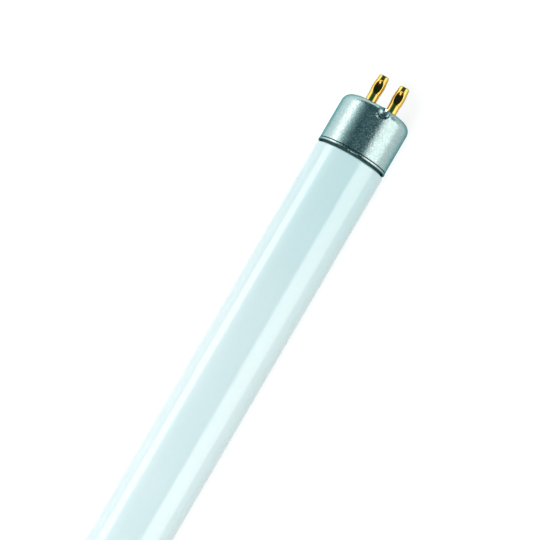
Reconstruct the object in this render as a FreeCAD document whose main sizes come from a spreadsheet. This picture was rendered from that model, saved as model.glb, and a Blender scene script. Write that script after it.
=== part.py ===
# Miniature fluorescent tube: a sealed glass lamp with a crimped two-pin metal cap on each end.
# Millimetres. The lamp lies along X with its middle at the origin, +Z up, its pin pairs level with the floor.
import FreeCAD
import Part
import Sketcher
import math
import os

# Driving dimensions, by the piece that they belong to
DIMENSIONS = {
    "lamp_length": 288.0,            # from cap face to cap face
    "glass_diameter": 15.5,
    "glass_shoulder_radius": 0.35,   # round edge where the tube is drawn in for its cap
    "glass_rim_wall": 1.2,           # melted rim at each end
    "flare_depth": 6.0,              # sunk end of the glass that carries the lead wires
    "flare_margin": 0.4,             # glass left outside the wires at the bottom of the flare
    "exhaust_radius": 1.1,           # sealed-off tube through which the lamp was pumped
    "exhaust_projection": 1.2,       # how far its tip stands out of the glass end
    "end_room": 2.35,                # from the glass end to the back of the insulator disc
    "cap_inset": 0.12,               # cap wall outside, below the glass surface
    "cap_length": 11.45,
    "cap_wall": 0.25,
    "cap_shoulder_radius": 2.0,
    "cap_face_rim": 0.6,             # flat ring of the cap face around its opening
    "hem_height": 0.7,               # rolled edge of the cap skirt
    "hem_proud": 0.06,               # how far it stands out of the cap wall
    "hem_crease": 0.1,               # depth of the crease above it
    "hem_round": 0.12,               # round of its edges
    "skirt_gap": 0.48,               # from the glass shoulder to the skirt edge
    "stake_ball_radius": 1.5,        # punch that locks the disc in the cap
    "stake_depth": 0.9,
    "stake_slope": 24.0,             # degrees of the punch from square to the lamp's axis
    "stake_turn": 14.0,              # degrees round the cap from the middle between the pins
    "disc_land": 0.35,               # straight edge of the disc below its rounded rim
    "disc_clearance": 0.05,
    "cement_thickness": 0.5,
    "cement_inset": 0.6,             # from the skirt edge to the cement
    "cement_end_gap": 0.8,           # from the cement to the glass end
    "pin_pitch": 4.75,
    "pin_diameter": 2.3,
    "pin_length": 6.6,
    "pin_wall": 0.4,
    "pin_tip_radius": 0.3,
    "pin_tip_taper": 0.08,           # how much slimmer the pin is at its tip, on the radius
    "pin_shank_step": 0.2,           # stouter stretch inside the disc
    "pin_collar_lip": 0.45,          # collar sunk flush with the disc face
    "pin_collar_depth": 0.5,
    "pin_flange_lip": 0.65,          # riveted flange behind the disc
    "pin_flange_thickness": 0.35,
    "crimp_below_tip": 2.7,          # from the tip to the middle of the crimp
    "crimp_length": 3.1,
    "crimp_depth": 0.25,
    "crimp_nose_radius": 3.0,        # round nose of the crimping jaw, across the pin
    "crimp_bulge": 0.13,             # how far the pin swells to each side of the crimp
    "wire_diameter": 0.6,
    "wire_clearance": 0.03,          # between the wire and the pinched bore
    "wire_set_in": 0.475,            # how much nearer the axis a wire leaves the glass
    "wire_bend_length": 3.0,
    "wire_bend_clear": 0.6,          # straight wire between its bend and the pin
    "wire_recess": 0.3,              # wire end below the pin tip
}

doc = FreeCAD.newDocument("fluorescent_tube")
sheet = doc.addObject("Spreadsheet::Sheet", "dims")
for row, (alias, number) in enumerate(DIMENSIONS.items(), start=1):
    sheet.set(f"A{row}", alias)
    sheet.set(f"B{row}", str(number))
    sheet.setAlias(f"B{row}", alias)
doc.recompute()


class Size:
    """A length known as a number, to draw with, and as an expression of the sheet, to bind with."""

    def __init__(self, value, text):
        self.value = value
        self.text = text

    def __add__(self, other):
        other = as_size(other)
        return Size(self.value + other.value, f"({self.text} + {other.text})")

    def __sub__(self, other):
        other = as_size(other)
        return Size(self.value - other.value, f"({self.text} - {other.text})")

    def __mul__(self, other):
        other = as_size(other)
        return Size(self.value * other.value, f"({self.text} * {other.text})")

    def __truediv__(self, other):
        other = as_size(other)
        return Size(self.value / other.value, f"({self.text} / {other.text})")

    def __neg__(self):
        return Size(-self.value, f"(-1 * {self.text})")


def as_size(quantity):
    return quantity if isinstance(quantity, Size) else Size(float(quantity), str(float(quantity)))


def dim(alias):
    return Size(float(sheet.get(alias)), f"dims.{alias}")


def sine(degrees):
    return Size(math.sin(math.radians(degrees.value)), f"sin({degrees.text} * 1 deg)")


def cosine(degrees):
    return Size(math.cos(math.radians(degrees.value)), f"cos({degrees.text} * 1 deg)")


def root(square):
    return Size(math.sqrt(square.value), f"sqrt({square.text})")


ZERO = as_size(0)

# Sizes that several pieces share. At an end, X = 0 is the cap face and +X points out of the lamp.
half_length = dim("lamp_length") / 2
glass_radius = dim("glass_diameter") / 2
cap_radius = glass_radius - dim("cap_inset")
cap_bore_radius = cap_radius - dim("cap_wall")
shoulder_radius = dim("cap_shoulder_radius")
shoulder_start = cap_radius - shoulder_radius
opening_radius = shoulder_start - dim("cap_face_rim")
neck_radius = cap_bore_radius - dim("cement_thickness")
disc_back = -(shoulder_radius + dim("disc_land"))
glass_end = disc_back - dim("end_room")
flare_bottom = glass_end - dim("flare_depth")
skirt_edge = -dim("cap_length")
pin_offset = dim("pin_pitch") / 2
pin_radius = dim("pin_diameter") / 2
collar_radius = pin_radius + dim("pin_collar_lip")
shank_radius = pin_radius + dim("pin_shank_step")
flange_back = disc_back - dim("pin_flange_thickness")
wire_radius = dim("wire_diameter") / 2
wire_exit = pin_offset - dim("wire_set_in")

# The stake's punch is a ball, pressed square into the rounded shoulder at the stake's slope
stake_reach = shoulder_radius + dim("stake_ball_radius") - dim("stake_depth")
stake_x = stake_reach * sine(dim("stake_slope")) - shoulder_radius
stake_off_axis = shoulder_start + stake_reach * cosine(dim("stake_slope"))
stake_y = -(stake_off_axis * sine(dim("stake_turn")))
stake_z = stake_off_axis * cosine(dim("stake_turn"))


def new_body(name):
    return doc.addObject("PartDesign::Body", name)


def origin_feature(body, role):
    return next(feature for feature in body.Origin.OriginFeatures if feature.Role == role)


def new_sketch(body, name, role):
    sketch = body.newObject("Sketcher::SketchObject", name)
    sketch.AttachmentSupport = [(origin_feature(body, role), "")]
    sketch.MapMode = "FlatFace"
    return sketch


def bind(sketch, constraint, size):
    index = sketch.addConstraint(constraint)
    sketch.setExpression(f"Constraints[{index}]", size.text)


def fix_point(sketch, edge, end, across, up):
    """Tie one end of an edge, or a circle's centre, to its two coordinates, or to an axis where one is zero."""
    if across is ZERO:
        sketch.addConstraint(Sketcher.Constraint("PointOnObject", edge, end, -2))
    else:
        bind(sketch, Sketcher.Constraint("DistanceX", -1, 1, edge, end, across.value), across)
    if up is ZERO:
        sketch.addConstraint(Sketcher.Constraint("PointOnObject", edge, end, -1))
    else:
        bind(sketch, Sketcher.Constraint("DistanceY", -1, 1, edge, end, up.value), up)


def vector(across, up):
    return FreeCAD.Vector(across.value, up.value, 0)


def draw_path(sketch, points, closed=True):
    """Draw lines and arcs through points of (across, up) or (across, up, arc to the next point).

    An arc is (centre across, centre up, radius, +1 for anticlockwise or -1 for clockwise).
    """
    edge_total = len(points) if closed else len(points) - 1
    ends = []
    for index in range(edge_total):
        here = points[index]
        there = points[(index + 1) % len(points)]
        start = vector(*here[:2])
        stop = vector(*there[:2])
        if len(here) == 2:
            edge = sketch.addGeometry(Part.LineSegment(start, stop), False)
            ends.append((edge, 1, 2))
            continue
        centre_across, centre_up, radius, turn = here[2]
        centre = vector(centre_across, centre_up)
        first, last = (start, stop) if turn > 0 else (stop, start)
        angles = [math.atan2(point.y - centre.y, point.x - centre.x) for point in (first, last)]
        circle = Part.Circle(centre, FreeCAD.Vector(0, 0, 1), radius.value)
        edge = sketch.addGeometry(Part.ArcOfCircle(circle, *angles), False)
        ends.append((edge, 1, 2) if turn > 0 else (edge, 2, 1))
        bind(sketch, Sketcher.Constraint("Radius", edge, radius.value), radius)
    for index, (edge, start_end, stop_end) in enumerate(ends):
        fix_point(sketch, edge, start_end, *points[index][:2])
        if closed or index + 1 < edge_total:
            next_edge, next_start, _ = ends[(index + 1) % edge_total]
            sketch.addConstraint(Sketcher.Constraint("Coincident", edge, stop_end, next_edge, next_start))
        else:
            fix_point(sketch, edge, stop_end, *points[-1][:2])


def draw_circle(sketch, across, up, radius):
    circle = Part.Circle(vector(across, up), FreeCAD.Vector(0, 0, 1), radius.value)
    edge = sketch.addGeometry(circle, False)
    bind(sketch, Sketcher.Constraint("Radius", edge, radius.value), radius)
    fix_point(sketch, edge, 3, across, up)


def turned(body, name, points, beside=ZERO, above=ZERO, feature="PartDesign::Revolution"):
    """Turn an outline of (along the lamp, radius) round the lamp's axis, or round an axis beside or above it."""
    sketch = new_sketch(body, name + "_outline", "XY_Plane")
    sketch.setExpression("AttachmentOffset.Base.y", beside.text)
    sketch.setExpression("AttachmentOffset.Base.z", above.text)
    draw_path(sketch, points)
    doc.recompute()
    turning = body.newObject(feature, name)
    turning.Profile = sketch
    turning.ReferenceAxis = (sketch, ["H_Axis"])
    turning.Angle = 360
    doc.recompute()
    return turning


def mirror_whole(body, name, feature, role):
    """Repeat a feature on the other side of an origin plane."""
    mirrored = body.newObject("PartDesign::Mirrored", name)
    mirrored.Originals = [feature]
    mirrored.MirrorPlane = (origin_feature(body, role), [""])
    body.Tip = mirrored
    doc.recompute()


def cut_through(body, name, role, circles, depth=None):
    """Cut round holes square to an origin plane, right through or down to a depth below the cap face."""
    sketch = new_sketch(body, name + "_outline", role)
    for circle in circles:
        draw_circle(sketch, *circle)
    doc.recompute()
    volume_before = body.Shape.Volume
    pocket = body.newObject("PartDesign::Pocket", name)
    pocket.Profile = sketch
    if depth is None:
        pocket.Type = "ThroughAll"
        pocket.Midplane = True
    else:
        pocket.Type = "Length"
        pocket.setExpression("Length", depth.text)
    doc.recompute()
    if body.Shape.Volume >= volume_before:
        raise RuntimeError(f"{name} cut nothing")


def stake_pair(body, name, radius):
    """Press a ball of this radius into the shoulder, on opposite sides of the cap."""
    ball = body.newObject("PartDesign::SubtractiveSphere", name)
    ball.setExpression("Radius", radius.text)
    for axis, place in (("x", stake_x), ("y", stake_y), ("z", stake_z)):
        ball.setExpression(f"Placement.Base.{axis}", place.text)
    doc.recompute()
    pair = body.newObject("PartDesign::PolarPattern", name + "_pair")
    pair.Originals = [ball]
    pair.Axis = (origin_feature(body, "X_Axis"), [""])
    pair.Angle = 360
    pair.Occurrences = 2
    body.Tip = pair
    doc.recompute()


pieces = []


def place_at_end(piece, label, end, half_turn=False):
    """Name a piece that was drawn at the origin and carry it to the +X end, or turn it round to the -X end."""
    facing = FreeCAD.Rotation(FreeCAD.Vector(0, 0, 1), 0 if end > 0 else 180)
    roll = FreeCAD.Rotation(FreeCAD.Vector(1, 0, 0), 180 if half_turn else 0)
    piece.Label = label
    piece.Placement = FreeCAD.Placement(FreeCAD.Vector(end * half_length.value, 0, 0), facing * roll)
    piece.setExpression("Placement.Base.x", half_length.text if end > 0 else (-half_length).text)
    pieces.append(piece)


# Glass tube: one sealed bulb, drawn in at each end to a neck, with a sunk flare and a sealed exhaust tip
def make_glass_tube():
    end = half_length + glass_end
    bottom = half_length + flare_bottom
    tip = end + dim("exhaust_projection")
    edge_radius = dim("glass_shoulder_radius")
    root_radius = glass_radius - neck_radius - edge_radius
    edge_stop = half_length + skirt_edge - dim("skirt_gap")
    edge_start = edge_stop - edge_radius
    neck_start = edge_stop + root_radius
    step_radius = glass_radius - edge_radius
    rim_radius = dim("glass_rim_wall") / 2
    rim_middle = neck_radius - rim_radius
    exhaust_radius = dim("exhaust_radius")
    body = new_body("glass_body")
    half = turned(body, "glass_half", [
        (ZERO, ZERO),
        (ZERO, glass_radius),
        (edge_start, glass_radius, (edge_start, step_radius, edge_radius, -1)),
        (edge_stop, step_radius, (neck_start, step_radius, root_radius, 1)),
        (neck_start, neck_radius),
        (end - rim_radius, neck_radius, (end - rim_radius, rim_middle, rim_radius, -1)),
        (end, rim_middle, (end - rim_radius, rim_middle, rim_radius, -1)),
        (end - rim_radius, rim_middle - rim_radius),
        (bottom, wire_exit + wire_radius + dim("flare_margin")),
        (bottom, exhaust_radius),
        (tip - exhaust_radius, exhaust_radius, (tip - exhaust_radius, ZERO, exhaust_radius, -1)),
        (tip, ZERO),
    ])
    mirror_whole(body, "glass_whole", half, "YZ_Plane")
    body.Label = "glass_tube"
    pieces.append(body)


# End cap: a drawn aluminium cup with a rolled skirt edge, staked into the disc at two places
def make_end_cap(letter, end):
    hem_height = dim("hem_height")
    crease = dim("hem_crease")
    hem_start = skirt_edge + hem_height
    hem_radius = cap_radius + dim("hem_proud")
    hem_round = dim("hem_round")
    hem_side = hem_radius - hem_round
    outside = new_body(f"cap_{letter}_outside")
    turned(outside, f"cap_{letter}_cup", [
        (ZERO, ZERO),
        (ZERO, shoulder_start, (-shoulder_radius, shoulder_start, shoulder_radius, 1)),
        (-shoulder_radius, cap_radius),
        (hem_start + crease, cap_radius),
        (hem_start, cap_radius - crease),
        (hem_start, hem_side, (hem_start - hem_round, hem_side, hem_round, 1)),
        (hem_start - hem_round, hem_radius),
        (skirt_edge + hem_round, hem_radius, (skirt_edge + hem_round, hem_side, hem_round, 1)),
        (skirt_edge, hem_side),
        (skirt_edge, ZERO),
    ])
    stake_pair(outside, f"cap_{letter}_stake", dim("stake_ball_radius"))

    wall = dim("cap_wall")
    inner_radius = shoulder_radius - wall
    inside = new_body(f"cap_{letter}_inside")
    turned(inside, f"cap_{letter}_hollow", [
        (wall, ZERO),
        (wall, opening_radius),
        (-wall, opening_radius),
        (-wall, shoulder_start, (-shoulder_radius, shoulder_start, inner_radius, 1)),
        (-shoulder_radius, cap_bore_radius),
        (skirt_edge - wall, cap_bore_radius),
        (skirt_edge - wall, ZERO),
    ])
    stake_pair(inside, f"cap_{letter}_stake_back", dim("stake_ball_radius") + wall)

    cap = doc.addObject("Part::Cut", f"cap_{letter}")
    cap.Base = outside
    cap.Tool = inside
    place_at_end(cap, f"end_cap_{letter}", end)


# Insulator disc: moulded disc that nests under the cap's shoulder, with a boss that fills its opening
def make_insulator_disc(letter, end):
    wall = dim("cap_wall")
    slack = dim("disc_clearance")
    rim_radius = shoulder_radius - wall
    rim_start = shoulder_start - slack
    body = new_body(f"disc_{letter}")
    turned(body, f"disc_{letter}_form", [
        (ZERO, ZERO),
        (ZERO, opening_radius - slack),
        (-wall, opening_radius - slack),
        (-wall, rim_start, (-shoulder_radius, rim_start, rim_radius, 1)),
        (-shoulder_radius, cap_bore_radius - slack),
        (disc_back, cap_bore_radius - slack),
        (disc_back, ZERO),
    ])
    sides = (pin_offset, -pin_offset)
    shank_hole = shank_radius + slack
    cut_through(body, f"disc_{letter}_pin_holes", "YZ_Plane", [(side, ZERO, shank_hole) for side in sides])
    collar_hole = collar_radius + slack
    cut_through(body, f"disc_{letter}_collar_seats", "YZ_Plane",
                [(side, ZERO, collar_hole) for side in sides], dim("pin_collar_depth"))
    notch_radius = dim("stake_ball_radius") + wall + slack
    cut_through(body, f"disc_{letter}_stake_notches", "YZ_Plane",
                [(stake_y, stake_z, notch_radius), (-stake_y, -stake_z, notch_radius)])
    place_at_end(body, f"insulator_disc_{letter}", end)


# Basing cement: ring that glues the glass neck into the cap
def make_basing_cement(letter, end):
    start = skirt_edge + dim("cement_inset")
    stop = glass_end - dim("cement_end_gap")
    body = new_body(f"cement_{letter}")
    turned(body, f"cement_{letter}_ring", [
        (start, neck_radius),
        (stop, neck_radius),
        (stop, cap_bore_radius),
        (start, cap_bore_radius),
    ])
    place_at_end(body, f"basing_cement_{letter}", end)


# Contact pin: hollow brass pin, riveted in the disc and crimped from two sides onto its wire by round-nosed jaws
def make_contact_pin(letter, number, end):
    tip = dim("pin_length")
    tip_radius = dim("pin_tip_radius")
    tip_start = tip - tip_radius
    tip_edge = pin_radius - dim("pin_tip_taper")
    bore_radius = pin_radius - dim("pin_wall")
    waist_radius = wire_radius + dim("wire_clearance")
    half_crimp = dim("crimp_length") / 2
    crimp_middle = tip - dim("crimp_below_tip")
    crimp_start = crimp_middle - half_crimp
    crimp_stop = crimp_middle + half_crimp
    bulge = dim("crimp_bulge")
    bulge_radius = (half_crimp * half_crimp + bulge * bulge) / (bulge * 2)
    bulge_centre = (crimp_middle, pin_radius + bulge - bulge_radius, bulge_radius, -1)
    pinch = bore_radius - waist_radius
    pinch_radius = (half_crimp * half_crimp + pinch * pinch) / (pinch * 2)
    pinch_centre = (crimp_middle, waist_radius + pinch_radius, pinch_radius, -1)
    tip_centre = (tip_start, tip_edge - tip_radius, tip_radius, -1)
    flange_radius = pin_radius + dim("pin_flange_lip")
    collar_back = -dim("pin_collar_depth")
    name = f"pin_{letter}{number}"
    body = new_body(name)
    turned(body, name + "_blank", [
        (flange_back, bore_radius),
        (flange_back, flange_radius),
        (disc_back, flange_radius),
        (disc_back, shank_radius),
        (collar_back, shank_radius),
        (collar_back, collar_radius),
        (ZERO, collar_radius),
        (ZERO, pin_radius),
        (crimp_start, pin_radius, bulge_centre),
        (crimp_stop, pin_radius),
        (tip_start, tip_edge, tip_centre),
        (tip, tip_edge - tip_radius),
        (tip, bore_radius),
        (crimp_stop, bore_radius, pinch_centre),
        (crimp_start, bore_radius),
    ], pin_offset)

    depth = dim("crimp_depth")
    nose_radius = dim("crimp_nose_radius")
    jaw_radius = (half_crimp * half_crimp + depth * depth) / (depth * 2)
    jaw_drop = jaw_radius - nose_radius
    jaw_reach = root(jaw_radius * jaw_radius - jaw_drop * jaw_drop)
    volume_before = body.Shape.Volume
    dent = turned(body, name + "_crimp", [
        (crimp_middle - jaw_reach, ZERO),
        (crimp_middle + jaw_reach, ZERO, (crimp_middle, -jaw_drop, jaw_radius, 1)),
    ], pin_offset, pin_radius - depth + nose_radius, "PartDesign::Groove")
    mirror_whole(body, name + "_crimp_pair", dent, "XY_Plane")
    if body.Shape.Volume >= volume_before:
        raise RuntimeError(f"{name}_crimp cut nothing")
    place_at_end(body, f"contact_pin_{letter}{number}", end, half_turn=number == 2)


# Lead wire: from the bottom of the glass flare, bent outwards once, into the pin that is crimped on it
def make_lead_wire(letter, number, end):
    bend_stop = flange_back - dim("wire_bend_clear")
    bend_start = bend_stop - dim("wire_bend_length")
    bend_middle = (bend_start + bend_stop) / 2
    half_bend = dim("wire_bend_length") / 2
    half_step = dim("wire_set_in") / 2
    bend_radius = (half_bend * half_bend + half_step * half_step) / (half_step * 2)
    name = f"wire_{letter}{number}"
    body = new_body(name)
    route = new_sketch(body, name + "_route", "XY_Plane")
    draw_path(route, [
        (flare_bottom, wire_exit),
        (bend_start, wire_exit, (bend_start, wire_exit + bend_radius, bend_radius, 1)),
        (bend_middle, wire_exit + half_step, (bend_stop, pin_offset - bend_radius, bend_radius, -1)),
        (bend_stop, pin_offset),
        (dim("pin_length") - dim("wire_recess"), pin_offset),
    ], closed=False)
    section = new_sketch(body, name + "_section", "YZ_Plane")
    section.setExpression("AttachmentOffset.Base.z", flare_bottom.text)
    draw_circle(section, wire_exit, ZERO, wire_radius)
    doc.recompute()
    pipe = body.newObject("PartDesign::AdditivePipe", name + "_drawn")
    pipe.Profile = section
    pipe.Spine = (route, [])
    place_at_end(body, f"lead_wire_{letter}{number}", end, half_turn=number == 2)


make_glass_tube()
for end_letter, end_side in (("a", 1), ("b", -1)):
    make_end_cap(end_letter, end_side)
    make_insulator_disc(end_letter, end_side)
    make_basing_cement(end_letter, end_side)
    for pin_number in (1, 2):
        make_contact_pin(end_letter, pin_number, end_side)
        make_lead_wire(end_letter, pin_number, end_side)
doc.recompute()

for item in doc.Objects:
    if "Invalid" in item.State or "Error" in item.State:
        raise RuntimeError(f"{item.Label} did not recompute: {item.State}")
for piece in pieces:
    if piece.Shape.isNull() or not piece.Shape.isValid() or len(piece.Shape.Solids) != 1:
        raise RuntimeError(f"{piece.Label} is not one sound solid")

os.makedirs("parts", exist_ok=True)
for piece in pieces:
    piece.Shape.exportStep(f"parts/{piece.Label}.step")
    print(f"{piece.Label}: {piece.Shape.Volume:.2f} mm3")
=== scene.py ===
import math

import bpy
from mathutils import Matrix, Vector


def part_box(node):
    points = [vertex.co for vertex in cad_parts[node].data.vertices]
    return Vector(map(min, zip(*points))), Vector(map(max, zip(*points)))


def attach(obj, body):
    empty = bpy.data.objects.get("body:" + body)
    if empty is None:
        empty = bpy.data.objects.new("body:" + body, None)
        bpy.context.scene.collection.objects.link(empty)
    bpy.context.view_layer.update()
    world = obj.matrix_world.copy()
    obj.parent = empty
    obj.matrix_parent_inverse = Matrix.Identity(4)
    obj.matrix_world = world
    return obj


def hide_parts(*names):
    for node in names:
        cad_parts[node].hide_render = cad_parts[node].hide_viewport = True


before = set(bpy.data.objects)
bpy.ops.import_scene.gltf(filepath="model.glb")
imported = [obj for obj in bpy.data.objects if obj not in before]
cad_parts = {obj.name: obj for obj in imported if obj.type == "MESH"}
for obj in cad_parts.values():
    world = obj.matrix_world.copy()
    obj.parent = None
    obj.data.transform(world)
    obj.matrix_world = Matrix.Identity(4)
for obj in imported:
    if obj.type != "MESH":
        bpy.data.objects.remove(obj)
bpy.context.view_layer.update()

# Glass tube
# One length of soda glass, drawn in at both ends to fit the caps, its ends melted shut round a sunk
# flare. The white coating is on its inside, so the smooth glass shines over a matt white.
MM = 0.001
cap_face = 144.0 * MM
cap_length = 11.45 * MM
skirt_edge = cap_face - cap_length
seam_width = 0.48 * MM
step_x = skirt_edge - seam_width
glass_radius = 7.75 * MM
cap_radius = glass_radius - 0.12 * MM
cap_wall = 0.25 * MM
cement_thickness = 0.5 * MM
neck_radius = cap_radius - cap_wall - cement_thickness
edge_round = 0.35 * MM
root_round = glass_radius - neck_radius - edge_round
exhaust_radius = 1.1 * MM
exhaust_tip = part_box("glass_tube")[1].x
rim_end = exhaust_tip - 1.2 * MM
rim_round = 0.6 * MM
flare_bottom = rim_end - 6.0 * MM
flare_radius = 2.6 * MM
# A ring this far from a round corner keeps its shading off the long straight wall beside it
SHADING_RING = 0.3 * MM


def arc(centre_x, centre_r, radius, start_degrees, stop_degrees, steps=8):
    """Points of a round corner in a turned outline, as (along the lamp, distance from its axis)."""
    points = []
    for step in range(steps + 1):
        angle = math.radians(start_degrees + (stop_degrees - start_degrees) * step / steps)
        points.append((centre_x + radius * math.cos(angle), centre_r + radius * math.sin(angle)))
    return points


half_outline = [
    *arc(exhaust_tip - exhaust_radius, 0, exhaust_radius, 0, 90),
    (flare_bottom, exhaust_radius),
    (flare_bottom, flare_radius),
    *arc(rim_end - rim_round, neck_radius - rim_round, rim_round, -90, 90, 14),
    *arc(step_x + root_round, neck_radius + root_round, root_round, -90, -180),
    *arc(step_x - edge_round, glass_radius - edge_round, edge_round, 0, 90),
    (step_x - edge_round - SHADING_RING, glass_radius),
]
other_half = [(-along, radius) for along, radius in reversed(half_outline)]


def outline_object(name, points, closed):
    """A wire mesh of a turned piece's half section, which its tree then turns round the axis."""
    mesh = bpy.data.meshes.new(name)
    edges = [(index, index + 1) for index in range(len(points) - 1)]
    if closed:
        edges.append((len(points) - 1, 0))
    mesh.from_pydata([(along, radius, 0) for along, radius in points], edges, [])
    piece = bpy.data.objects.new(name, mesh)
    bpy.context.scene.collection.objects.link(piece)
    return piece


def fill_inputs(tree, node, values):
    """Set or link a node's inputs: by name, with _ for a space, or as in_0, in_1 where a name is shared."""
    for key, value in values.items():
        if key.startswith("in_"):
            socket = node.inputs[int(key[3:])]
        else:
            socket = node.inputs[key.replace("_", " ")]
        if isinstance(value, bpy.types.NodeSocket):
            tree.links.new(value, socket)
        else:
            socket.default_value = value


def add_node(tree, kind, settings=None, **values):
    """Add a node to the tree of a shape or of a material, with its settings and inputs."""
    node = tree.nodes.new(kind)
    for attribute, value in (settings or {}).items():
        setattr(node, attribute, value)
    fill_inputs(tree, node, values)
    return node


class Tree:
    """A geometry tree that grows node by node, with named inputs for a piece's sizes."""

    WELD = 0.002 * MM
    CORNER_DEGREES = 32

    def __init__(self, name, sizes):
        self.tree = bpy.data.node_groups.new(name, "GeometryNodeTree")
        self.tree.is_modifier = True
        face = self.tree.interface
        face.new_socket("Outline", in_out="INPUT", socket_type="NodeSocketGeometry")
        face.new_socket("Piece", in_out="OUTPUT", socket_type="NodeSocketGeometry")
        self.sizes = sizes
        self.sockets = {}
        for title in sizes:
            kind = "NodeSocketInt" if isinstance(sizes[title], int) else "NodeSocketFloat"
            self.sockets[title] = face.new_socket(title, in_out="INPUT", socket_type=kind).identifier
        self.inputs = self.tree.nodes.new("NodeGroupInput")

    def size(self, title):
        return self.inputs.outputs[title]

    def add(self, kind, settings=None, **values):
        return add_node(self.tree, kind, settings, **values)

    def math(self, operation, *values):
        terms = {f"in_{index}": value for index, value in enumerate(values)}
        return self.add("ShaderNodeMath", {"operation": operation}, **terms).outputs[0]

    def vector_math(self, operation, *values):
        terms = {f"in_{index}": value for index, value in enumerate(values)}
        node = self.add("ShaderNodeVectorMath", {"operation": operation}, **terms)
        return node.outputs["Value" if operation in ("LENGTH", "DISTANCE") else "Vector"]

    def scale(self, vector, factor):
        node = self.add("ShaderNodeVectorMath", {"operation": "SCALE"}, Vector=vector, Scale=factor)
        return node.outputs["Vector"]

    def split(self, vector):
        return self.add("ShaderNodeSeparateXYZ", Vector=vector).outputs

    def combine(self, x, y, z):
        return self.add("ShaderNodeCombineXYZ", X=x, Y=y, Z=z).outputs[0]

    def half_turn(self, where):
        """A rotation that turns the instances round the upright axis where a value is 1."""
        return self.combine(0.0, 0.0, self.math("MULTIPLY", where, math.pi))

    def position(self):
        return self.add("GeometryNodeInputPosition").outputs[0]

    def move(self, geometry, position):
        return self.add("GeometryNodeSetPosition", Geometry=geometry, Position=position).outputs[0]

    def turn(self):
        """Turn the outline round the lamp's axis: it is swept along a circle that lies square to X."""
        path_radius = self.size("Path radius")
        along, radius, _ = self.split(self.position())
        from_path = self.math("SUBTRACT", radius, path_radius)
        section = self.combine(from_path, self.math("MULTIPLY", along, -1.0), 0.0)
        outline = self.add("GeometryNodeMeshToCurve", Mesh=self.size("Outline")).outputs[0]
        profile = self.move(outline, section)
        sides = self.size("Sides")
        path = self.add("GeometryNodeCurvePrimitiveCircle", Resolution=sides, Radius=path_radius)
        swept = self.add("GeometryNodeCurveToMesh", Curve=path.outputs[0], in_1=profile)
        laid = self.add("GeometryNodeTransform", Geometry=swept.outputs[0], Rotation=(0, math.pi / 2, 0))
        welded = self.add("GeometryNodeMergeByDistance", Geometry=laid.outputs[0], Distance=self.WELD)
        return welded.outputs[0]

    def finish(self, geometry, material):
        """Realize what is instanced, shade it smooth but for its corners, and set the material."""
        real = self.add("GeometryNodeRealizeInstances", Geometry=geometry).outputs[0]
        smooth = self.add("GeometryNodeSetShadeSmooth", {"domain": "FACE"}, Geometry=real).outputs[0]
        bend = self.add("GeometryNodeInputMeshEdgeAngle").outputs[0]
        soft = self.math("LESS_THAN", bend, math.radians(self.CORNER_DEGREES))
        creased = self.add("GeometryNodeSetShadeSmooth", {"domain": "EDGE"}, Geometry=smooth, in_2=soft)
        dressed = self.add("GeometryNodeSetMaterial", Geometry=creased.outputs[0], Material=material)
        self.add("NodeGroupOutput", in_0=dressed.outputs[0])

    def make(self, piece):
        """Run the tree on an outline and keep its result as the piece's own plain mesh."""
        modifier = piece.modifiers.new("Shape", "NODES")
        modifier.node_group = self.tree
        for title, value in self.sizes.items():
            modifier[self.sockets[title]] = value
        graph = bpy.context.evaluated_depsgraph_get()
        mesh = bpy.data.meshes.new_from_object(piece.evaluated_get(graph))
        piece.modifiers.clear()
        # Realized instances bring an empty material slot with them
        while mesh.materials[0] is None:
            mesh.materials.pop(index=0)
        piece.data = mesh


def new_material(name):
    material = bpy.data.materials.new(name)
    material.use_nodes = True
    return material


def set_finish(material, **values):
    """Set or link the inputs of a material's main shader."""
    tree = material.node_tree
    fill_inputs(tree, tree.nodes["Principled BSDF"], values)


def object_place(material):
    return add_node(material.node_tree, "ShaderNodeTexCoord").outputs["Object"]


def from_middle(material, place):
    """How far a place is from the middle of the lamp, towards either end."""
    along = add_node(material.node_tree, "ShaderNodeSeparateXYZ", Vector=place).outputs["X"]
    return add_node(material.node_tree, "ShaderNodeMath", {"operation": "ABSOLUTE"}, in_0=along).outputs[0]


def noise(material, place, scale, detail=2.0, roughness=0.5):
    return add_node(material.node_tree, "ShaderNodeTexNoise", Vector=place, Scale=scale,
                    Detail=detail, Roughness=roughness).outputs[0]


def ramp(material, factor, stops):
    node = add_node(material.node_tree, "ShaderNodeValToRGB", Fac=factor)
    elements = node.color_ramp.elements
    while len(elements) < len(stops):
        elements.new(0.5)
    for element, (place, colour) in zip(elements, stops):
        element.position = place
        element.color = (*colour, 1.0)
    return node.outputs[0]


def between(material, value, start, stop, way="LINEAR"):
    """A factor that goes from 0 to 1 as a value goes from start to stop."""
    return add_node(material.node_tree, "ShaderNodeMapRange", {"interpolation_type": way}, Value=value,
                    From_Min=start, From_Max=stop).outputs[0]


def blend(material, factor, under, over, way="MIX"):
    """Lay a plain colour over another colour, as far as a factor says."""
    settings = {"data_type": "RGBA", "blend_type": way}
    return add_node(material.node_tree, "ShaderNodeMix", settings,
                    in_0=factor, in_6=under, in_7=(*over, 1.0)).outputs[2]


# The powder under the glass is a little uneven, and its colour is darkened to a cooler grey towards the ends
# as painted shade, where the light falls off along the lamp
POWDER_TONES = [(0.3, (0.71, 0.84, 0.845)), (0.7, (0.74, 0.86, 0.87))]
CLOUD_SHARE = 0.55
END_SHADE = (0.865, 0.95, 0.955)
END_SHADE_START = 84 * MM
END_SHADE_STOP = 134 * MM
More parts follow.
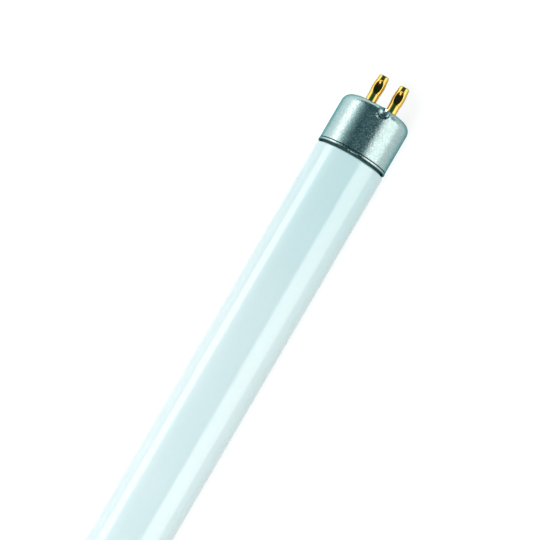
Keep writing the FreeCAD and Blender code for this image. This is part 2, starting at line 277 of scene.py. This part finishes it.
# The coating stops where the glass is drawn in; the bare neck is coloured dark, partly as uncoated glass and
# partly as painted shade deep in the seam
BARE_NECK_AND_SEAM_SHADE = (0.13, 0.29, 0.29)
COATING_FADE = step_x - 0.12 * MM
COATING_STOP = step_x - 0.04 * MM
coated_glass = new_material("coated_glass")
glass_place = object_place(coated_glass)
powder = noise(coated_glass, glass_place, scale=1100, detail=3, roughness=0.6)
clouds = noise(coated_glass, glass_place, scale=60)
uneven = add_node(coated_glass.node_tree, "ShaderNodeMix", {"data_type": "FLOAT"},
                  in_0=CLOUD_SHARE, in_2=powder, in_3=clouds).outputs[0]
white = ramp(coated_glass, uneven, POWDER_TONES)
along_glass = from_middle(coated_glass, glass_place)
# Painted shade: the glass colour grows darker towards both ends
end_shade = between(coated_glass, along_glass, END_SHADE_START, END_SHADE_STOP, "SMOOTHSTEP")
shaded = blend(coated_glass, end_shade, white, END_SHADE, "MULTIPLY")
bare = between(coated_glass, along_glass, COATING_FADE, COATING_STOP)
# The dark neck colour is partly painted shade in the seam under the cap
coated = blend(coated_glass, bare, shaded, BARE_NECK_AND_SEAM_SHADE)
set_finish(coated_glass, Base_Color=coated, Roughness=0.9, Specular_IOR_Level=0.0,
           Coat_Weight=1.0, Coat_Roughness=0.05, Coat_IOR=1.9)

tube = outline_object("coated_tube", half_outline + other_half, closed=False)
tube_tree = Tree("turned_tube", {"Sides": 256, "Path radius": 5.0 * MM})
tube_tree.finish(tube_tree.turn(), coated_glass)
tube_tree.make(tube)
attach(tube, "root")
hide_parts("glass_tube")

# End caps
# Cups drawn from thin aluminium sheet, satin all over, with a low bead under a crease round the skirt.
# The rounded shoulder is staked at two opposite places to lock the disc, and the punch leaves a raised lip.
shoulder_radius = 2.0 * MM
shoulder_start = cap_radius - shoulder_radius
opening_radius = shoulder_start - 0.6 * MM
opening_round = 0.06 * MM
bead_height = 0.53 * MM
bead_proud = 0.06 * MM
bead_round = 0.12 * MM
bead_edge = cap_radius + bead_proud - bead_round
crease_depth = 0.15 * MM
crease_x = bead_height - cap_length
bore_radius = cap_radius - cap_wall
stake_ball = 1.5 * MM
stake_depth = 0.9 * MM
stake_reach = shoulder_radius + stake_ball - stake_depth
stake_slope = math.radians(24)
stake_turn = math.radians(14)
stake_x = stake_reach * math.sin(stake_slope) - shoulder_radius
stake_off_axis = shoulder_start + stake_reach * math.cos(stake_slope)
dented_wall = -shoulder_radius - 1.2 * MM


def rings(start_x, stop_x, radius, steps):
    """Points along a straight wall, close together where it is dented later."""
    return [(start_x + (stop_x - start_x) * step / steps, radius) for step in range(1, steps)]


cap_outline = [
    *arc(-opening_round, opening_radius + opening_round, opening_round, -90, 0, 4),
    *arc(-shoulder_radius, shoulder_start, shoulder_radius, 0, 90, 40),
    *rings(-shoulder_radius, dented_wall, cap_radius, 10),
    (crease_x + crease_depth, cap_radius),
    (crease_x, cap_radius - crease_depth),
    *arc(crease_x - bead_round, bead_edge, bead_round, 0, 90),
    *arc(bead_round - cap_length, bead_edge, bead_round, 90, 180),
    (-cap_length, bore_radius),
    *rings(dented_wall, -shoulder_radius, bore_radius, 8),
    *arc(-shoulder_radius, shoulder_start, shoulder_radius - cap_wall, 90, 0, 30),
    (-cap_wall, opening_radius),
]

SATIN_TONES = [(0.36, (0.325, 0.44, 0.44)), (0.64, (0.43, 0.55, 0.55))]
SATIN_EDGE = (0.15, 0.35, 0.36, 1)
# Painted shade in the crease and round the cut edge of the skirt, where it also dulls the edge's glint: its
# share by the millimetre above the edge
PAINTED_HEM_SHADE = (0.05, 0.065, 0.065)
PAINTED_HEM_SHADE_SHARES = [(0.12, 0.75), (0.2, 0.0), (0.48, 0.0), (0.53, 0.85), (0.69, 0.85), (0.76, 0.0)]
NOISE_LOW = 0.35
NOISE_HIGH = 0.65


def spread(material, factor, low, high):
    """Carry a noise pattern, which seldom leaves its middle range, to the range of a roughness."""
    return add_node(material.node_tree, "ShaderNodeMapRange", Value=factor, From_Min=NOISE_LOW,
                    From_Max=NOISE_HIGH, To_Min=low, To_Max=high).outputs[0]


def relief(material, height, depth, strength):
    return add_node(material.node_tree, "ShaderNodeBump", Height=height, Distance=depth,
                    Strength=strength).outputs[0]


cap_aluminium = new_material("cap_aluminium")
cap_place = object_place(cap_aluminium)
grain = noise(cap_aluminium, cap_place, scale=3000, detail=3, roughness=0.7)
mottle = noise(cap_aluminium, cap_place, scale=2400, detail=4, roughness=0.7)
satin = ramp(cap_aluminium, mottle, SATIN_TONES)
along_cap = from_middle(cap_aluminium, cap_place)
above_edge = between(cap_aluminium, along_cap, skirt_edge, skirt_edge + 1.0 * MM)
# Painted shade darkens the satin colour in the crease and at the skirt's cut edge
hem_shade_share = ramp(cap_aluminium, above_edge, [(place, (share,) * 3) for place, share in PAINTED_HEM_SHADE_SHARES])
hem_shaded_satin = blend(cap_aluminium, hem_shade_share, satin, PAINTED_HEM_SHADE)
set_finish(cap_aluminium, Base_Color=hem_shaded_satin, Metallic=1.0, Specular_Tint=SATIN_EDGE,
           Roughness=spread(cap_aluminium, grain, 0.14, 0.34),
           Normal=relief(cap_aluminium, grain, depth=0.05 * MM, strength=0.6))

caps = outline_object("end_caps", cap_outline, closed=True)
cap_tree = Tree("staked_caps", {
    "Sides": 384, "Path radius": 6.0 * MM, "Face distance": cap_face, "Wall": cap_wall,
    "Shoulder radius": shoulder_radius, "Shoulder start": shoulder_start,
    "Stake along": stake_x, "Stake across": -stake_off_axis * math.sin(stake_turn),
    "Stake up": stake_off_axis * math.cos(stake_turn), "Ball radius": stake_ball,
    "Edge softness": 0.15 * MM, "Lip height": 0.28 * MM, "Lip width": 0.6 * MM, "Lip at wall": 0.2,
})
wall = cap_tree.size("Wall")
round_radius = cap_tree.size("Shoulder radius")
cap_form = cap_tree.turn()
for side in (1.0, -1.0):
    ball = cap_tree.combine(cap_tree.size("Stake along"),
                            cap_tree.math("MULTIPLY", cap_tree.size("Stake across"), side),
                            cap_tree.math("MULTIPLY", cap_tree.size("Stake up"), side))
    place = cap_tree.position()
    along, across, up = cap_tree.split(place)
    off_axis = cap_tree.vector_math("LENGTH", cap_tree.combine(0.0, across, up))
    # The shoulder is a ring of round section, and the lip rises square to it
    out_of_ring = cap_tree.math("SUBTRACT", off_axis, cap_tree.size("Shoulder start"))
    past_ring = cap_tree.math("ADD", along, round_radius)
    outward = cap_tree.math("DIVIDE", cap_tree.math("MAXIMUM", out_of_ring, 0.0), off_axis)
    lift_way = cap_tree.vector_math("NORMALIZE", cap_tree.combine(
        cap_tree.math("MAXIMUM", past_ring, 0.0),
        cap_tree.math("MULTIPLY", across, outward),
        cap_tree.math("MULTIPLY", up, outward)))
    # The inner wall keeps its distance from the punch's ball, so that the sheet stays as thick
    depth_in_ring = cap_tree.vector_math("LENGTH", cap_tree.combine(past_ring, out_of_ring, 0.0))
    wall_middle = cap_tree.math("SUBTRACT", round_radius, cap_tree.math("MULTIPLY", wall, 0.5))
    inside = cap_tree.math("LESS_THAN", depth_in_ring, wall_middle)
    ball_radius = cap_tree.math("ADD", cap_tree.size("Ball radius"), cap_tree.math("MULTIPLY", inside, wall))
    from_ball = cap_tree.math("SUBTRACT", cap_tree.vector_math("DISTANCE", place, ball), ball_radius)
    fade = cap_tree.add("ShaderNodeMapRange", {"interpolation_type": "SMOOTHSTEP"},
                        Value=from_ball, in_1=0.0, in_2=cap_tree.size("Lip width"),
                        in_3=cap_tree.size("Lip height"), in_4=0.0)
    to_face = cap_tree.add("ShaderNodeMapRange", Value=past_ring, in_1=0.0, in_2=round_radius,
                           in_3=cap_tree.size("Lip at wall"), in_4=1.0)
    lip = cap_tree.math("MULTIPLY", fade.outputs[0], to_face.outputs[0])
    raised = cap_tree.vector_math("ADD", place, cap_tree.scale(lift_way, lip))
    pressed = cap_tree.math("SMOOTH_MAX", cap_tree.vector_math("DISTANCE", raised, ball), ball_radius,
                            cap_tree.size("Edge softness"))
    away = cap_tree.vector_math("NORMALIZE", cap_tree.vector_math("SUBTRACT", raised, ball))
    dented = cap_tree.vector_math("ADD", ball, cap_tree.scale(away, pressed))
    cap_form = cap_tree.move(cap_form, dented)
face_x = cap_tree.size("Face distance")
first_end = cap_tree.combine(face_x, 0.0, 0.0)
to_other_end = cap_tree.combine(cap_tree.math("MULTIPLY", face_x, -2.0), 0.0, 0.0)
ends = cap_tree.add("GeometryNodeMeshLine", Count=2, in_2=first_end, in_3=to_other_end)
end_index = cap_tree.add("GeometryNodeInputIndex").outputs[0]
both = cap_tree.add("GeometryNodeInstanceOnPoints", Points=ends.outputs[0], Instance=cap_form,
                    Rotation=cap_tree.half_turn(end_index))
cap_tree.finish(both.outputs[0], cap_aluminium)
cap_tree.make(caps)
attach(caps, "root")
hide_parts("end_cap_a", "end_cap_b")

# Insulator discs
# Moulded from dark phenolic resin, held under the cap's shoulder, their boss flush in its opening.
# Only the ring round each pin shows, when the lamp is seen from its end.
RESIN_TONES = [(0.35, (0.035, 0.025, 0.022)), (0.7, (0.085, 0.06, 0.05))]
insulator = new_material("insulator")
fibres = noise(insulator, object_place(insulator), scale=1400, detail=4, roughness=0.6)
set_finish(insulator, Base_Color=ramp(insulator, fibres, RESIN_TONES),
           Roughness=spread(insulator, fibres, 0.38, 0.6),
           Normal=relief(insulator, fibres, depth=0.02 * MM, strength=0.4))


def dress(material, *names):
    """Give carried-over pieces their finish."""
    for name in names:
        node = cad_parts[name]
        node.data.materials.clear()
        node.data.materials.append(material)


dress(insulator, "insulator_disc_a", "insulator_disc_b")

# Basing cement
# Grainy resin cement, baked to glue the glass neck into each cap; its dark colour is painted shade for the
# seam.
# It only shows deep in the seam, between the glass and the skirt.
CEMENT_SEAM_SHADE_TONES = [(0.3, (0.09, 0.075, 0.06)), (0.7, (0.16, 0.14, 0.11))]
cement = new_material("cement")
crumbs = noise(cement, object_place(cement), scale=2500, detail=4, roughness=0.65)
# Painted shade: the cement is coloured dark so that the seam reads as shadow
set_finish(cement, Base_Color=ramp(cement, crumbs, CEMENT_SEAM_SHADE_TONES), Roughness=0.9,
           Normal=relief(cement, crumbs, depth=0.05 * MM, strength=0.6))
dress(cement, "basing_cement_a", "basing_cement_b")

# Contact pins
# Hollow pins drawn from brass, riveted in the disc by a collar and a flange, and squeezed between two
# broad jaws onto the wire inside, so that they are dented above and below and swell to the sides.
pin_pitch = 4.75 * MM
pin_length = 6.6 * MM
pin_radius = 1.15 * MM
pin_bore = pin_radius - 0.4 * MM
tip_round = 0.3 * MM
tip_edge = pin_radius - 0.08 * MM
waist_radius = 0.33 * MM
collar_radius = pin_radius + 0.45 * MM
collar_back = -0.5 * MM
shank_radius = pin_radius + 0.2 * MM
flange_radius = pin_radius + 0.65 * MM
disc_back = -shoulder_radius - 0.35 * MM
flange_back = disc_back - 0.35 * MM
half_crimp = 1.55 * MM
crimp_middle = pin_length - 2.7 * MM
crimp_start = crimp_middle - half_crimp
crimp_stop = crimp_middle + half_crimp
crimp_depth = 0.25 * MM
jaw_radius = (half_crimp ** 2 + crimp_depth ** 2) / (2 * crimp_depth)
nose_radius = 3.0 * MM
bulge = 0.13 * MM


def bow(start_x, stop_x, edge, middle, steps):
    """Points of a shallow arc over a stretch of the pin, from the radius at its ends and in its middle."""
    half = (stop_x - start_x) / 2
    rise = middle - edge
    radius = (half ** 2 + rise ** 2) / (2 * abs(rise))
    reach = math.degrees(math.asin(half / radius))
    side = math.copysign(1, rise)
    centre_r = middle - side * radius
    return arc((start_x + stop_x) / 2, centre_r, radius, side * 90 + reach, side * 90 - reach, steps)


swell = sorted(bow(crimp_start, crimp_stop, pin_radius, pin_radius + bulge, 60))
pinch = sorted(bow(crimp_start, crimp_stop, pin_bore, waist_radius, 24), reverse=True)
pin_outline = [
    (flange_back, pin_bore),
    (flange_back, flange_radius),
    (disc_back, flange_radius),
    (disc_back, shank_radius),
    (collar_back, shank_radius),
    (collar_back, collar_radius),
    (0, collar_radius),
    (0, pin_radius),
    (crimp_start - SHADING_RING, pin_radius),
    *swell,
    *arc(pin_length - tip_round, tip_edge - tip_round, tip_round, 90, 0, 10),
    (pin_length, pin_bore),
    *pinch,
]

BRASS_TONES = [(0.3, (0.62, 0.415, 0.09)), (0.7, (0.73, 0.525, 0.14))]
BRASS_EDGE = (0.2, 0.1, 0.02, 1)
# Painted shade: the brass is darkened where the jaws dent it
PAINTED_DENT_SHADE = (0.23, 0.125, 0.034)
pin_brass = new_material("pin_brass")
tarnish = noise(pin_brass, object_place(pin_brass), scale=700, detail=3)
bright_brass = ramp(pin_brass, tarnish, BRASS_TONES)
dent_shade_share = add_node(pin_brass.node_tree, "ShaderNodeAttribute",
                     {"attribute_name": "dent_shade_amount"}).outputs["Fac"]
dent_shaded_brass = blend(pin_brass, dent_shade_share, bright_brass, PAINTED_DENT_SHADE)
set_finish(pin_brass, Base_Color=dent_shaded_brass, Metallic=1.0, Specular_Tint=BRASS_EDGE,
           Roughness=spread(pin_brass, tarnish, 0.1, 0.2))

pins = outline_object("contact_pins", pin_outline[::-1], closed=True)
pin_tree = Tree("crimped_pins", {
    "Sides": 128, "Path radius": 0.9 * MM, "Face distance": cap_face, "Pin pitch": pin_pitch,
    "Crimp middle": crimp_middle, "Jaw radius": jaw_radius, "Nose radius": nose_radius,
    "Nose height": pin_radius - crimp_depth + nose_radius, "Edge softness": 0.06 * MM,
    "Dent shade depth": 0.08 * MM,
})
pin_form = pin_tree.turn()
along, across, up = pin_tree.split(pin_tree.position())
# The jaw is a bar of round section, bent to a bow along the pin, so that it bites deepest in its middle
off_crimp = pin_tree.math("SUBTRACT", along, pin_tree.size("Crimp middle"))
jaw = pin_tree.size("Jaw radius")
jaw_square = pin_tree.math("SUBTRACT", pin_tree.math("MULTIPLY", jaw, jaw),
                           pin_tree.math("MULTIPLY", off_crimp, off_crimp))
jaw_line = pin_tree.math("SQRT", pin_tree.math("MAXIMUM", jaw_square, 0.0))
jaw_drop = pin_tree.math("SUBTRACT", jaw, pin_tree.size("Nose radius"))
nose_here = pin_tree.math("SUBTRACT", jaw_line, jaw_drop)
nose_axis = pin_tree.math("MULTIPLY", pin_tree.size("Nose height"), pin_tree.math("SIGN", up))
from_axis = pin_tree.combine(0.0, across, pin_tree.math("SUBTRACT", up, nose_axis))
axis_distance = pin_tree.vector_math("LENGTH", from_axis)
pressed = pin_tree.math("SMOOTH_MAX", axis_distance, nose_here, pin_tree.size("Edge softness"))
pushed = pin_tree.scale(pin_tree.vector_math("NORMALIZE", from_axis), pressed)
crimped = pin_tree.vector_math("ADD", pin_tree.combine(along, 0.0, nose_axis), pushed)
# How deep the jaws press, kept on the points for painted shade in the dents
press_depth = pin_tree.math("SUBTRACT", pressed, axis_distance)
dent_shade_fade = pin_tree.add("ShaderNodeMapRange", Value=press_depth, in_1=0.0, in_2=pin_tree.size("Dent shade depth"))
pin_form = pin_tree.add("GeometryNodeStoreNamedAttribute", {"data_type": "FLOAT", "domain": "POINT"},
                        Geometry=pin_form, Name="dent_shade_amount", Value=dent_shade_fade.outputs[0]).outputs[0]
pin_form = pin_tree.move(pin_form, crimped)
ends_apart = pin_tree.math("MULTIPLY", pin_tree.size("Face distance"), 2.0)
four = pin_tree.add("GeometryNodeMeshGrid", in_0=ends_apart, in_1=pin_tree.size("Pin pitch"), in_2=2, in_3=2)
end_x, _, _ = pin_tree.split(pin_tree.position())
far_end = pin_tree.math("LESS_THAN", end_x, 0.0)
all_pins = pin_tree.add("GeometryNodeInstanceOnPoints", Points=four.outputs[0], Instance=pin_form,
                        Rotation=pin_tree.half_turn(far_end))
pin_tree.finish(all_pins.outputs[0], pin_brass)
pin_tree.make(pins)
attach(pins, "root")
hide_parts("contact_pin_a1", "contact_pin_a2", "contact_pin_b1", "contact_pin_b2")

# Lead wires
# Drawn nickel wire from the glass flare into the pins, held there by the crimp. Only the cut ends show,
# down in the pins' bores.
WIRE_TONES = [(0.3, (0.42, 0.40, 0.38)), (0.7, (0.6, 0.58, 0.55))]
lead_wire = new_material("lead_wire")
scuffs = noise(lead_wire, object_place(lead_wire), scale=3000, detail=3)
set_finish(lead_wire, Base_Color=ramp(lead_wire, scuffs, WIRE_TONES), Metallic=1.0,
           Roughness=spread(lead_wire, scuffs, 0.3, 0.5))
dress(lead_wire, "lead_wire_a1", "lead_wire_a2", "lead_wire_b1", "lead_wire_b2")

# Studio
# White floor paper, painted darker right of the lamp and lighter left of it as painted shade and light for
# its edges
# to reflect, and lit panels: a long strip on each side with a dim teal rim above it, a fill on the left, a
# key from behind and one panel overhead. The sky is dark over the lamp, so that the strips' edges show as
# clean bands along the glass and the caps.
FLOOR_SIZE = 12.0
FLOOR_LIFT = 0.74
PAINTED_SHADE_PAPER_RIGHT = (0.36, 0.36, 0.36)
PAINTED_LIGHT_PAPER_LEFT = (0.74, 0.74, 0.74)
half_floor = FLOOR_SIZE / 2
floor_height = -glass_radius
floor_corners = [(-half_floor, -half_floor, floor_height), (half_floor, -half_floor, floor_height),
                 (half_floor, half_floor, floor_height), (-half_floor, half_floor, floor_height)]
floor_mesh = bpy.data.meshes.new("floor")
floor_mesh.from_pydata(floor_corners, [], [(0, 1, 2, 3)])
floor = bpy.data.objects.new("floor", floor_mesh)
bpy.context.scene.collection.objects.link(floor)
floor_white = new_material("floor_white")
floor_tree = floor_white.node_tree
floor_across = add_node(floor_tree, "ShaderNodeSeparateXYZ", Vector=object_place(floor_white)).outputs["Y"]
# The paper's colour is painted darker right of the lamp and lighter left of it: painted shade and painted
# light
to_left = between(floor_white, floor_across, -glass_radius, glass_radius)
paper = ramp(floor_white, to_left, [(0.0, PAINTED_SHADE_PAPER_RIGHT), (1.0, PAINTED_LIGHT_PAPER_LEFT)])
rays = add_node(floor_tree, "ShaderNodeLightPath").outputs
seen = rays["Is Camera Ray"]
for kind in ("Is Glossy Ray", "Is Transmission Ray"):
    seen = add_node(floor_tree, "ShaderNodeMath", {"operation": "MAXIMUM"},
                    in_0=seen, in_1=rays[kind]).outputs[0]
lift = add_node(floor_tree, "ShaderNodeMath", {"operation": "MULTIPLY"},
                in_0=seen, in_1=FLOOR_LIFT).outputs[0]
set_finish(floor_white, Base_Color=paper, Roughness=1.0, Specular_IOR_Level=0.0,
           Emission_Color=(1, 1, 1, 1), Emission_Strength=lift)
floor_mesh.materials.append(floor_white)


def panel(name, place, rotation, width, height, radiance, colour):
    """A lit panel of even brightness. Its width runs along the lamp where it isn't turned."""
    light = bpy.data.lights.new(name, "AREA")
    light.shape = "RECTANGLE"
    light.size = width
    light.size_y = height
    light.energy = radiance * math.pi * width * height
    light.color = colour
    lit = bpy.data.objects.new(name, light)
    bpy.context.scene.collection.objects.link(lit)
    lit.location = place
    lit.rotation_euler = rotation


STRIP_DISTANCE = 1.0
STRIP_WHITE = (1.0, 0.79, 0.755)
RIM_TEAL = (0.5, 1.0, 1.0)
LEFT = 1
RIGHT = -1


def strip(name, side, start, stop, low, high, radiance, colour=STRIP_WHITE):
    """A panel beside the lamp, from one place along it to another, between two elevations in degrees."""
    middle = math.radians((low + high) / 2)
    height = 2 * STRIP_DISTANCE * math.tan(math.radians((high - low) / 2))
    across = side * STRIP_DISTANCE * math.cos(middle)
    place = ((start + stop) / 2, across, STRIP_DISTANCE * math.sin(middle))
    panel(name, place, (side * (middle - math.pi / 2), 0, 0), stop - start, height, radiance, colour)


def square_panel(name, place, width, radiance):
    """A white panel that faces the lamp."""
    panel(name, place, place.to_track_quat("Z", "Y").to_euler(), width, width, radiance, (1, 1, 1))


strip("left_strip", LEFT, start=0.12, stop=0.9, low=2.0, high=27.6, radiance=2.2)
strip("right_strip", RIGHT, start=0.04, stop=0.9, low=1.2, high=52.4, radiance=2.0)
strip("left_glow", LEFT, start=0.12, stop=0.9, low=27.6, high=33.6, radiance=0.6, colour=RIM_TEAL)
strip("right_glow", RIGHT, start=0.04, stop=0.9, low=52.4, high=58.0, radiance=0.4, colour=RIM_TEAL)
strip("left_fill", LEFT, start=-0.5, stop=0.12, low=1.6, high=27.6, radiance=1.3)
square_panel("key", Vector((-0.57, 0.0, 0.76)), width=0.4, radiance=15.3)
square_panel("overhead", Vector((-0.654, 0.0, 2.89)), width=0.6, radiance=7.0)

RIGHT_SKY = (0.16, 0.5, 0.5)
DARK_SKY = (0.048, 0.118, 0.138)
LEFT_SKY = (0.62, 0.78, 0.79)
world = bpy.data.worlds.new("studio")
bpy.context.scene.world = world
world.use_nodes = True
sky_tree = world.node_tree
sky_direction = add_node(sky_tree, "ShaderNodeTexCoord").outputs["Generated"]
sideways = add_node(sky_tree, "ShaderNodeSeparateXYZ", Vector=sky_direction).outputs["Y"]
from_right = between(world, sideways, -1.0, 1.0)
sky = ramp(world, from_right, [(0.1, RIGHT_SKY), (0.225, DARK_SKY), (0.775, DARK_SKY), (0.9, LEFT_SKY)])
fill_inputs(sky_tree, sky_tree.nodes["Background"], {"Color": sky})

# Camera
# Almost straight down on the lamp, with the cap end tilted away, through a long lens. It is placed by the
# scale of the picture and by where the middle of the cap's face lies in it.
FRAME_PIXELS = 540
PIXELS_PER_METRE = 4920
CAP_FACE_PIXEL = (378.8, 109.9)
AZIMUTH = math.radians(-60.1)
ELEVATION = math.radians(80.9)
camera_data = bpy.data.cameras.new("camera")
camera_data.lens = 800
camera = bpy.data.objects.new("camera", camera_data)
bpy.context.scene.collection.objects.link(camera)
back = Vector((math.sin(AZIMUTH) * math.cos(ELEVATION),
               -math.cos(AZIMUTH) * math.cos(ELEVATION),
               math.sin(ELEVATION)))
right = Vector((math.cos(AZIMUTH), math.sin(AZIMUTH), 0))
upwards = back.cross(right)
frame_width = FRAME_PIXELS / PIXELS_PER_METRE
camera_distance = frame_width * camera_data.lens / camera_data.sensor_width
aim = (Vector((cap_face, 0, 0))
       + right * ((FRAME_PIXELS / 2 - CAP_FACE_PIXEL[0]) / PIXELS_PER_METRE)
       - upwards * ((FRAME_PIXELS / 2 - CAP_FACE_PIXEL[1]) / PIXELS_PER_METRE))
camera.location = aim + back * camera_distance
camera.rotation_euler = back.to_track_quat("Z", "Y").to_euler()
bpy.context.scene.camera = camera
bpy.context.scene.view_settings.view_transform = "Standard"
